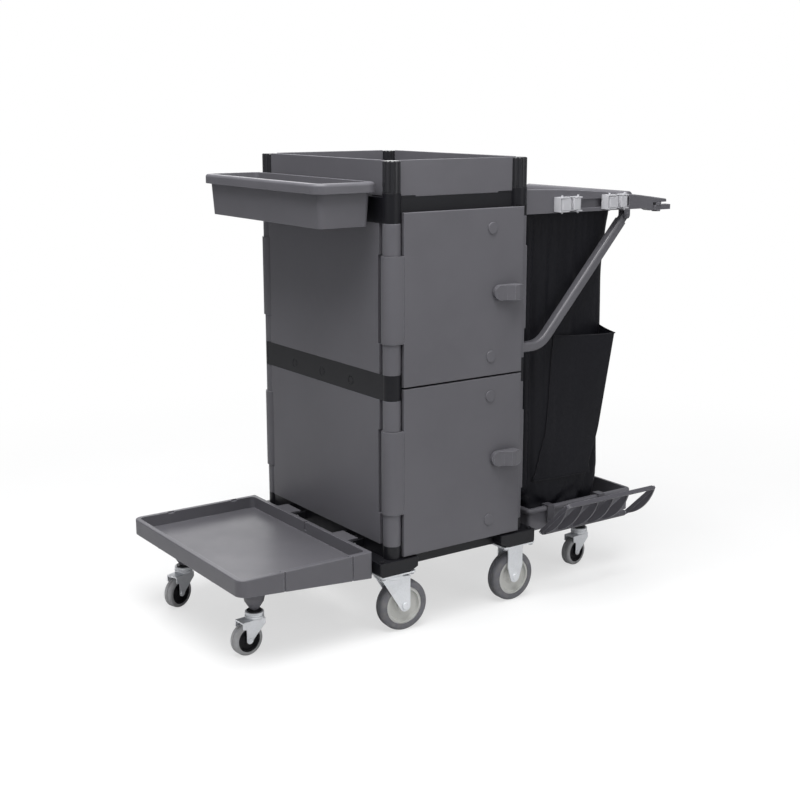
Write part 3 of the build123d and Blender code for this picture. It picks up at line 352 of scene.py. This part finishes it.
def two_tone_wheels():
    """Gives each small wheel a black centre inside its grey tread."""
    for joint in frame["joints"]:
        node = frame["nodes"].get(joint["child"])
        if node is None or not joint["name"].endswith("_spin"):
            continue
        if not joint["child"].startswith(("platform", "tray")):
            continue
        centre, axle = Vector(joint["pos_m"]), Vector(joint["axis"]).normalized()
        node.data.materials.append(small_hub_plastic)
        for face in node.data.polygons:
            arm = face.center - centre
            reach = (arm - axle * arm.dot(axle)).length * 1000
            if reach < SMALL_TREAD_INNER_R:
                face.material_index = 1


# ---------------------------------------------------------------- mesh helpers
def new_piece(name, points, faces, material, uv=None):
    mesh = bpy.data.meshes.new(name)
    mesh.from_pydata([tuple(p) for p in points], [], faces)
    mesh.materials.append(material)
    mesh.polygons.foreach_set("use_smooth", [True] * len(mesh.polygons))
    if uv is not None:
        layer = mesh.uv_layers.new(name="UVMap")
        corners = np.empty(len(mesh.loops), np.int32)
        mesh.loops.foreach_get("vertex_index", corners)
        layer.data.foreach_set("uv", np.asarray(uv, np.float32)[corners].ravel())
    mesh.update()
    piece = bpy.data.objects.new(name, mesh)
    bpy.context.scene.collection.objects.link(piece)
    return piece


def grid_faces(rows, columns, closed):
    """Quads of a grid of points, row by row. A closed grid joins its last column to its first."""
    faces = []
    for row in range(0, (rows - 1) * columns, columns):
        below = row + columns
        for j in range(columns if closed else columns - 1):
            k = (j + 1) % columns
            faces.append((row + j, row + k, below + k, below + j))
    return faces


def tube(name, path, radius, material, sides):
    """A round cord along a list of points, with closed ends."""
    path = [Vector(p) for p in path]
    points, uv = [], []
    travelled = 0.0
    for i, p in enumerate(path):
        ahead = (path[min(i + 1, len(path) - 1)] - path[max(i - 1, 0)]).normalized()
        side = ahead.cross(Vector((0, 0, 1)))
        side = side.normalized() if side.length > 1e-4 else Vector((1, 0, 0))
        up = side.cross(ahead)
        travelled += (p - path[max(i - 1, 0)]).length
        for k in range(sides):
            angle = 2 * math.pi * k / sides
            points.append(p + (side * math.cos(angle) + up * math.sin(angle)) * radius)
            uv.append((travelled, radius * angle))
    faces = grid_faces(len(path), sides, True)
    faces.append(tuple(range(sides))[::-1])
    faces.append(tuple(range(len(points) - sides, len(points))))
    return new_piece(name, points, faces, material, uv)


# ---------------------------------------------------------------- the bag
COLUMNS = 190
ROWS = 96
FLOOR_RINGS = 9


def rounded_rectangle(x, half_y, corner, count):
    """Points round a rounded rectangle, evenly spaced, starting at the middle of the +X side."""
    half_x = (x[1] - x[0]) / 2
    straight_x, straight_y = half_x - corner, half_y - corner
    arc = corner * math.pi / 2
    lengths = [straight_y, arc, 2 * straight_x, arc, 2 * straight_y]
    lengths += [arc, 2 * straight_x, arc, straight_y]
    total = sum(lengths)
    centre = (x[0] + x[1]) / 2
    points = []
    for i in range(count):
        s = total * i / count
        index = 0
        while s > lengths[index]:
            s -= lengths[index]
            index += 1
        t = s / lengths[index]
        turn = math.pi / 2 * t
        cos, sin = corner * math.cos(turn), corner * math.sin(turn)
        px, py = (
            (half_x, straight_y * t),
            (straight_x + cos, straight_y + sin),
            (straight_x - 2 * straight_x * t, half_y),
            (-straight_x - sin, straight_y + cos),
            (-half_x, straight_y - 2 * straight_y * t),
            (-straight_x - cos, -straight_y - sin),
            (-straight_x + 2 * straight_x * t, -half_y),
            (straight_x + sin, -straight_y - cos),
            (half_x, -straight_y + straight_y * t),
        )[index]
        points.append((px + centre, py))
    return np.array(points), total


def bag_start():
    """The bag before it sags: rings from the hem down to the floor, then in to the middle."""
    top, girth = rounded_rectangle(BAG_X, BAG_Y, CORNER, COLUMNS)
    foot, _ = rounded_rectangle(FOOT_X, FOOT_Y, CORNER, COLUMNS)
    points, uv = [], []
    for i in range(ROWS):
        z = BAG_TOP_Z + (BAG_FLOOR_Z - BAG_TOP_Z) * i / (ROWS - 1)
        share = float(smooth(z, *NECK_Z))
        ring = foot * (1 - share) + top * share
        points += [(x, y, z) for x, y in ring]
        uv += [(girth * j / COLUMNS / 1000, z / 1000) for j in range(COLUMNS)]
    middle = foot.mean(0)
    for i in range(1, FLOOR_RINGS + 1):
        ring = foot + (middle - foot) * i / (FLOOR_RINGS + 0.5)
        points += [(x, y, BAG_FLOOR_Z) for x, y in ring]
        uv += [(x / 1000, y / 1000) for x, y in ring]
    faces = grid_faces(ROWS + FLOOR_RINGS, COLUMNS, True)
    last = len(points) - COLUMNS
    faces.append(tuple(range(last, last + COLUMNS)))
    return np.array(points), uv, faces


PLEATS_FROM_X = 214.0


def drawn_in(points):
    """Folds and hollows: the walls pull in between the hem and the tray, more at the corners."""
    x, y, z = points[:, 0], points[:, 1], points[:, 2]
    out = points.copy()
    body = smooth(z, 215, 330) * (1 - smooth(z, 905, 968))

    # The far end pulls in at two heights
    middle = (BAG_X[0] + BAG_X[1]) / 2
    far_end = smooth(x, middle + 90, BAG_X[1])
    waist = np.exp(-(((z - 800) / 120) ** 2)) * 15 + np.exp(-(((z - 470) / 130) ** 2)) * 12
    out[:, 0] -= far_end * waist * smooth(z, 230, 330) * (1 - smooth(z, 920, 968))

    # The long walls have tight upright pleats near the cabinet and broad hollows elsewhere
    long_wall = smooth(np.abs(y), BAG_Y - 34, BAG_Y - 8)
    near = 1 - smooth(x, 262, 330)
    along = x - PLEATS_FROM_X
    pleats = 8.0 * np.sin(along / 8.5 + 0.7 * np.sin(z / 95)) + 4.0 * np.sin(along / 5.1 + z / 210)
    broad = 5.0 * np.sin(x / 39 + 1.2 * np.sin(z / 170)) + 3.0 * np.sin(z / 88 + x / 60)
    depth = 3.0 + near * (4.0 + pleats) + (1 - near) * np.abs(broad) * 0.8
    out[:, 1] -= np.sign(y) * long_wall * body * np.clip(depth, 0, None)

    # The end walls ripple a little
    end_wall = smooth(x, BAG_X[1] - 40, BAG_X[1] - 20)
    out[:, 0] -= end_wall * body * (3 + 3 * np.sin(y / 27 + 1.4 * np.sin(z / 140)))
    back_wall = 1 - smooth(x, BAG_X[0] + 12, BAG_X[0] + 34)
    out[:, 0] += back_wall * body * (4 + 3 * np.sin(y / 33 + 1.1 * np.sin(z / 120)))
    return out


def crumpled_foot(points):
    """Loose horizontal creases where the bag stands in the tray."""
    x, y, z = points[:, 0], points[:, 1], points[:, 2]
    out = points.copy()
    low = (1 - smooth(z, 225, 320)) * smooth(z, 166, 185)
    round_way = x / 23 + y / 31
    ruck = 6.4 * np.sin(z / 11.5 + 1.9 * np.sin(round_way))
    ruck += 3.4 * np.sin(z / 7.5 - round_way * 1.7)
    centre = np.array([(FOOT_X[0] + FOOT_X[1]) / 2, 0.0])
    away = np.stack([(x - centre[0]) / 120, (y - centre[1]) / 215], 1)
    away /= np.maximum(np.linalg.norm(away, axis=1, keepdims=True), 1e-6)
    out[:, :2] -= away * (low * (2.5 + ruck).clip(0, None))[:, None]
    return out


def settle(piece, pinned, frames, shrink, keepers):
    """Runs Blender's cloth on the piece with its hem pinned, and returns the settled points."""
    group = piece.vertex_groups.new(name="pinned")
    group.add([int(i) for i in np.flatnonzero(pinned)], 1.0, "REPLACE")
    cloth = piece.modifiers.new("Cloth", "CLOTH")
    settings = cloth.settings
    settings.vertex_group_mass = "pinned"
    settings.quality = 5
    settings.mass = 0.25
    settings.tension_stiffness = 18
    settings.compression_stiffness = 12
    settings.shear_stiffness = 8
    settings.bending_stiffness = 0.35
    settings.shrink_min = shrink
    settings.use_pressure = True
    settings.uniform_pressure_force = 0.35
    cloth.collision_settings.distance_min = 0.002
    cloth.collision_settings.use_self_collision = False
    cloth.point_cache.frame_start = 1
    cloth.point_cache.frame_end = frames
    scene = bpy.context.scene
    for number in range(1, frames + 1):
        scene.frame_set(number)
    evaluated = piece.evaluated_get(bpy.context.evaluated_depsgraph_get())
    settled = np.array([v.co for v in evaluated.data.vertices])
    piece.modifiers.remove(cloth)
    scene.frame_set(1)
    for keeper in keepers:
        bpy.data.objects.remove(keeper)
    return settled


def collision_box(name, low, high):
    """A temporary closed box that the cloth can't pass."""
    (x0, y0, z0), (x1, y1, z1) = at(*low), at(*high)
    points = [(x, y, z) for x in (x0, x1) for y in (y0, y1) for z in (z0, z1)]
    faces = [(0, 1, 3, 2), (4, 6, 7, 5), (0, 4, 5, 1), (2, 3, 7, 6), (0, 2, 6, 4), (1, 5, 7, 3)]
    box = new_piece(name, points, faces, bag_cloth)
    box.modifiers.new("Collision", "COLLISION")
    box.collision.thickness_outer = 0.001
    return box


HEM_BAND = 14.0  # the height of the hem that the simulation holds still
SIM_FRAMES = 26
SHRINK = -0.025  # the cloth is this much larger than its start, so that it sags
MAX_SAG = 16.0


def make_bag():
    """The bag's shell, sagged from its hem and standing in the tray."""
    start, uv, faces = bag_start()
    shaped = crumpled_foot(drawn_in(start))
    rest = np.array([at(*p) for p in shaped])
    shell = new_piece("bag_shell", rest, faces, bag_cloth, uv)
    points = rest
    pinned = start[:, 2] > BAG_TOP_Z - HEM_BAND
    keepers = [
        collision_box("keep_floor", (262, -236, 120), (526, 236, 161)),
        collision_box("keep_cabinet", (150, -260, 150), (205, 260, 960)),
    ]
    points = settle(shell, pinned, SIM_FRAMES, SHRINK, keepers)
    moved = points - rest
    length = np.linalg.norm(moved, axis=1, keepdims=True)
    points = rest + moved * np.minimum(1.0, MAX_SAG / 1000 / np.maximum(length, 1e-9))
    points = inside_limits(points, start)
    shell.data.vertices.foreach_set("co", points.astype(np.float32).ravel())
    shell.data.update()
    return shell, points, start


def inside_limits(points, start):
    """Keeps the settled cloth clear of the tray, the struts and the cabinet."""
    mm = points * 1000 - np.array(CABINET_IN_CART)
    in_tray = 1 - smooth(start[:, 2], 214, 250)
    reach_y = (BAG_Y + 2) * (1 - in_tray) + (FOOT_Y + 9) * in_tray
    mm[:, 1] = np.clip(mm[:, 1], -reach_y, reach_y)
    low_x = (BAG_X[0] - 3) * (1 - in_tray) + (FOOT_X[0] - 4) * in_tray
    high_x = BAG_X[1] + 4
    mm[:, 0] = np.clip(mm[:, 0], low_x, high_x)
    mm[:, 2] = np.clip(mm[:, 2], BAG_FLOOR_Z - 1.5, BAG_TOP_Z)
    return (mm + np.array(CABINET_IN_CART)) / 1000


def thicken(piece, thickness_mm):
    """Gives a sheet its real thickness and rounds its facets off."""
    subdivide = piece.modifiers.new("Rounding", "SUBSURF")
    subdivide.levels = 1
    subdivide.render_levels = 1
    solid = piece.modifiers.new("Thickness", "SOLIDIFY")
    solid.thickness = thickness_mm / 1000
    solid.offset = -1.0


def nearest_front(points, start, x, z):
    """The bag's front surface at a nominal X and height, in millimetres about the cabinet."""
    front = (start[:, 1] < -BAG_Y + 34) & (start[:, 2] > BAG_FLOOR_Z + 1)
    near = start[front]
    mm = points[front] * 1000 - np.array(CABINET_IN_CART)
    distance = (near[:, 0] - x) ** 2 + (near[:, 2] - z) ** 2
    nearest = np.argsort(distance)[:6]
    weight = 1 / (distance[nearest] + 4.0)
    return (mm[nearest] * weight[:, None]).sum(0) / weight.sum()


POCKET_ROWS = 46
FRONT_COLUMNS = 32  # across the pocket's front, up to its outer fold
SIDE_COLUMNS = 6  # from the fold back to the bag
POCKET_MOUTH_Z = 652.0
POCKET_SEAM_Z = 280.0
POCKET_FRONT_Y = -232.0
SEAM_GAP = 1.6  # the pocket's seams lie this far in front of the bag


def pocket_edges(z):
    """The pocket at one height: X of its left seam, X of its outer fold, how far that fold
    stands off the bag, and X of the fold's root."""
    left = np.interp(z, [278, 300, 408, 651], [287, 297, 327, 338])
    fold = np.interp(z, [280, 305, 364, 399, 652], [471, 464, 484, 489, 493])
    off = np.interp(z, [280, 364, 399, 652], [1.5, 4, 9, 53])
    root = fold + np.interp(z, [280, 399, 652], [1.5, 3, 13])
    return float(left), float(fold), float(off), float(root)


def make_pocket(points, start):
    """The open pocket on the bag's front: flush at its left, standing away at its right."""
    grid, uv = [], []
    for i in range(POCKET_ROWS):
        down = i / (POCKET_ROWS - 1)
        z = POCKET_MOUTH_Z + (POCKET_SEAM_Z - POCKET_MOUTH_Z) * down
        left, fold, off, root = pocket_edges(z)
        open_share = (1 - down) ** 2
        for j in range(FRONT_COLUMNS):
            across = j / (FRONT_COLUMNS - 1)
            x = left + (fold - left) * across
            behind = nearest_front(points, start, x, z)
            swell = math.sin(math.pi * across / 2) ** 1.5
            ripple = 1.8 * math.sin(across * 8.5 + 2.6 * down) * math.sin(math.pi * across)
            sag = 4.5 * math.sin(math.pi * across) * (1 - down) ** 3
            flush = behind[1] - SEAM_GAP
            free = POCKET_FRONT_Y - off * swell - ripple * (0.4 + open_share)
            y = min(flush, flush * (1 - across) + free * across)
            grid.append(at(behind[0] * (1 - across) + x * across, y, z - sag))
            uv.append((x / 1000, z / 1000))
        for j in range(1, SIDE_COLUMNS + 1):
            back = j / SIDE_COLUMNS
            behind = nearest_front(points, start, root, z)
            x = fold + (behind[0] - fold) * back
            fold_y = min(behind[1] - SEAM_GAP, POCKET_FRONT_Y - off)
            y = fold_y + (behind[1] - SEAM_GAP - fold_y) * back
            dent = 3.0 * math.sin(math.pi * back) * open_share
            grid.append(at(x - dent, y, z + 12 * back * (1 - down) ** 8))
            uv.append(((fold + off * back) / 1000, z / 1000))
    columns = FRONT_COLUMNS + SIDE_COLUMNS
    faces = grid_faces(POCKET_ROWS, columns, False)
    pocket = new_piece("bag_pocket", grid, faces, bag_cloth, uv)
    return pocket, np.array(grid).reshape(POCKET_ROWS, columns, 3)


def make_hem():
    """The bag's turned hem: a cloth sleeve round the wire on its three free sides."""
    corner_x, corner_y = RAIL_X - HEM_BEND, RAIL_Y - HEM_BEND
    turns = np.linspace(0, math.pi / 2, 9)[1:]
    path = []
    for x in np.linspace(HEM_START_X, corner_x, 22):
        path.append((x, -RAIL_Y, RAIL_Z))
    for turn in turns:
        reach_x, reach_y = HEM_BEND * math.sin(turn), HEM_BEND * math.cos(turn)
        path.append((corner_x + reach_x, -corner_y - reach_y, RAIL_Z))
    for y in np.linspace(-corner_y, corner_y, 30)[1:]:
        path.append((RAIL_X, y, RAIL_Z))
    for turn in turns:
        reach_x, reach_y = HEM_BEND * math.cos(turn), HEM_BEND * math.sin(turn)
        path.append((corner_x + reach_x, corner_y + reach_y, RAIL_Z))
    for x in np.linspace(corner_x, HEM_START_X, 22)[1:]:
        path.append((x, RAIL_Y, RAIL_Z))
    return tube("bag_hem_sleeve", [at(*p) for p in path], HEM_SLEEVE_R / 1000, hem_tape, 14)


def piping(name, row, radius_mm=1.3, lift_mm=0.8):
    """A thin cord laid along a row of points, a little in front of them."""
    path = [Vector(p) + Vector((0, -lift_mm / 1000, 0)) for p in row]
    return tube(name, path, radius_mm / 1000, hem_tape, 8)


FOOT_CORD = ((230, 276), (249, 269), (266, 260), (284, 246))  # X and height of each bend


def foot_cord(points, start):
    """The piping that runs down over the bag's lower front corner, where it narrows."""
    xs, zs = zip(*FOOT_CORD)
    row = []
    for x in np.linspace(xs[0], xs[-1], 24):
        z = float(np.interp(x, xs, zs))
        row.append(at(*nearest_front(points, start, x, z)))
    return piping("foot_piping", row, 1.4)


def build_bag():
    shell, points, start = make_bag()
    thicken(shell, CLOTH_T)
    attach(shell, "cabinet")
    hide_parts("waste_bag")
    pocket, grid = make_pocket(points, start)
    thicken(pocket, CLOTH_T)
    trims = [
        pocket,
        make_hem(),
        piping("pocket_mouth_binding", grid[0], 1.5, 0.4),
        piping("pocket_left_piping", grid[:, 0]),
        piping("pocket_right_piping", grid[:, -1]),
        piping("pocket_bottom_piping", grid[-1]),
        foot_cord(points, start),
    ]
    for piece in trims:
        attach(piece, "cabinet")


# ---------------------------------------------------------------- stage, light, camera
FLOOR_HALF = 60.0
FLOOR_FADE = (0.6, 2.6)  # distances from the cart, in metres
FLOOR_WHITE_AT_CART = 0.62
SKY_STRENGTH = 0.28


def make_floor():
    """A pale floor that turns to plain white away from the cart, so that it has no horizon.

    Only the camera sees it white. It sends the cart a mid grey, as a studio floor in shade does.
    """
    g = Graph("floor")
    away = g.add("VectorMath", {0: g.place}, operation="LENGTH").outputs["Value"]
    share = g.spread(away, *FLOOR_FADE, FLOOR_WHITE_AT_CART, 1.0)
    seen = g.add("LightPath").outputs["Is Camera Ray"]
    mottle = g.spread(g.noise(2.5, 3.0), 0.3, 0.7)
    shade = g.mix(mottle, (0.92, 0.92, 0.92, 1), (0.95, 0.95, 0.95, 1))
    white = g.add("BsdfPrincipled", {"Base Color": shade, "Roughness": 0.75})
    glow = g.add("Emission", {"Color": (1, 1, 1, 1), "Strength": 1.0})
    visible = g.add("MixShader", {0: share, 1: white.outputs[0], 2: glow.outputs[0]})
    grey = g.add("BsdfPrincipled", {"Base Color": (0.6, 0.6, 0.6, 1), "Roughness": 0.8})
    both = g.add("MixShader", {0: seen, 1: grey.outputs[0], 2: visible.outputs[0]})
    g.tree.links.new(both.outputs[0], g.add("OutputMaterial").inputs["Surface"])
    half = FLOOR_HALF
    corners = [(-half, -half, 0), (half, -half, 0), (half, half, 0), (-half, half, 0)]
    new_piece("floor", corners, [(0, 1, 2, 3)], g.material)


def make_world():
    """White behind the cart; a softer grey sky for light and reflections."""
    world = bpy.data.worlds.new("studio")
    bpy.context.scene.world = world
    world.use_nodes = True
    tree = world.node_tree
    tree.nodes.clear()
    path = tree.nodes.new("ShaderNodeLightPath")
    seen = tree.nodes.new("ShaderNodeBackground")
    sky = tree.nodes.new("ShaderNodeBackground")
    both = tree.nodes.new("ShaderNodeMixShader")
    output = tree.nodes.new("ShaderNodeOutputWorld")
    seen.inputs["Color"].default_value = (1, 1, 1, 1)
    sky.inputs["Color"].default_value = (0.95, 0.97, 1.0, 1)
    sky.inputs["Strength"].default_value = SKY_STRENGTH
    tree.links.new(path.outputs["Is Camera Ray"], both.inputs[0])
    tree.links.new(sky.outputs[0], both.inputs[1])
    tree.links.new(seen.outputs[0], both.inputs[2])
    tree.links.new(both.outputs[0], output.inputs["Surface"])


def soft_light(name, position, target, size, power):
    """A square softbox aimed at a point."""
    lamp = bpy.data.lights.new(name, "AREA")
    lamp.energy = power
    lamp.size = size
    lamp.shape = "SQUARE"
    light = bpy.data.objects.new(name, lamp)
    light.location = position
    light.rotation_mode = "QUATERNION"
    aim = Vector(target) - Vector(position)
    light.rotation_quaternion = aim.to_track_quat("-Z", "Y")
    bpy.context.scene.collection.objects.link(light)


def make_lights():
    middle = (0.0, 0.0, 0.5)
    soft_light("top_box", (-0.7, -0.5, 3.1), middle, 2.4, 130)
    soft_light("front_box", (1.2, -3.4, 1.9), middle, 2.2, 22)
    soft_light("left_box", (-3.4, -0.9, 1.7), middle, 2.0, 3)
    soft_light("back_box", (1.6, 3.2, 2.2), middle, 2.0, 24)


def make_camera():
    yaw, pitch = math.radians(CAMERA_YAW), math.radians(CAMERA_PITCH)
    level = math.cos(pitch)
    forward = Vector((level * math.cos(yaw), level * math.sin(yaw), -math.sin(pitch)))
    lens = bpy.data.cameras.new("camera")
    lens.lens = CAMERA_LENS
    lens.sensor_width = 36.0
    camera = bpy.data.objects.new("camera", lens)
    camera.location = at(*CAMERA_AT)
    camera.rotation_mode = "QUATERNION"
    camera.rotation_quaternion = forward.to_track_quat("-Z", "Y")
    bpy.context.scene.collection.objects.link(camera)
    bpy.context.scene.camera = camera


dress_cad_nodes()
second_materials()
two_tone_wheels()
build_bag()
make_floor()
make_world()
make_lights()
make_camera()
bpy.context.scene.view_settings.view_transform = "Standard"
